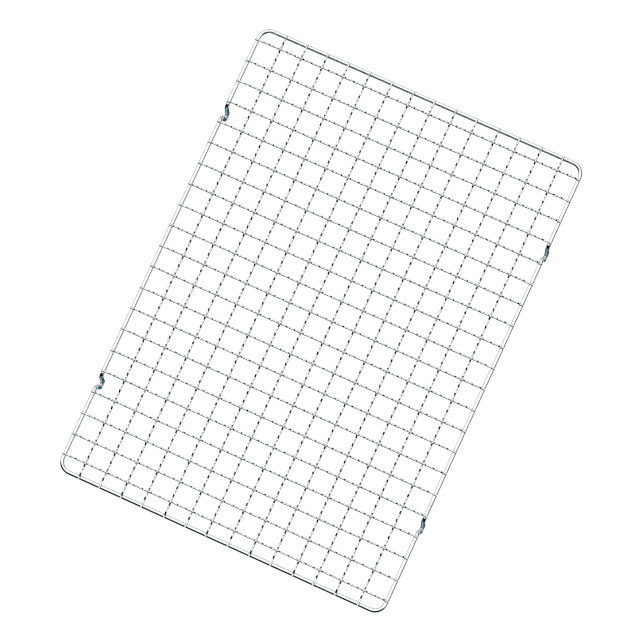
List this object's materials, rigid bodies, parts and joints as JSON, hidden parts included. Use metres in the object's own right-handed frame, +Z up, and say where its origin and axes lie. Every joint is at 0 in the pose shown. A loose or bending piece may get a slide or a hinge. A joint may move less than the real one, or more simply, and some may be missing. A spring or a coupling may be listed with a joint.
{
  "type": "footed wire cooling rack",
  "caption": "Rectangular wire cooling rack: woven crimped wires welded on a round rim wire whose V bends are its feet.",
  "frame": {"origin": "on the surface the feet stand on, under the middle of the rack", "axes": "+X across the rack's width, +Y along its length, +Z up"},
  "size_m": [0.3684, 0.508, 0.0336],
  "materials": {
    "chromed_rim_wire": "bright chrome plate over smooth drawn wire",
    "chromed_grid_wire": "bright chrome plate over crimped wire",
    "chromed_weld": "chrome plate over a dressed weld, slightly duller"
  },
  "bodies": {
    "root": {"rim_wire": "chromed_rim_wire", "rim_butt_weld": "chromed_weld", "long_wire_01": "chromed_grid_wire", "long_wire_02": "chromed_grid_wire", "long_wire_03": "chromed_grid_wire", "long_wire_04": "chromed_grid_wire", "long_wire_05": "chromed_grid_wire", "long_wire_06": "chromed_grid_wire", "long_wire_07": "chromed_grid_wire", "long_wire_08": "chromed_grid_wire", "long_wire_09": "chromed_grid_wire", "long_wire_10": "chromed_grid_wire", "long_wire_11": "chromed_grid_wire", "long_wire_12": "chromed_grid_wire", "long_wire_13": "chromed_grid_wire", "long_wire_14": "chromed_grid_wire", "short_wire_01": "chromed_grid_wire", "short_wire_02": "chromed_grid_wire", "short_wire_03": "chromed_grid_wire", "short_wire_04": "chromed_grid_wire", "short_wire_05": "chromed_grid_wire", "short_wire_06": "chromed_grid_wire", "short_wire_07": "chromed_grid_wire", "short_wire_08": "chromed_grid_wire", "short_wire_09": "chromed_grid_wire", "short_wire_10": "chromed_grid_wire", "short_wire_11": "chromed_grid_wire", "short_wire_12": "chromed_grid_wire", "short_wire_13": "chromed_grid_wire", "short_wire_14": "chromed_grid_wire", "short_wire_15": "chromed_grid_wire", "short_wire_16": "chromed_grid_wire", "short_wire_17": "chromed_grid_wire", "short_wire_18": "chromed_grid_wire", "short_wire_19": "chromed_grid_wire", "short_wire_20": "chromed_grid_wire", "short_wire_21": "chromed_grid_wire"}
  },
  "joints": []
}
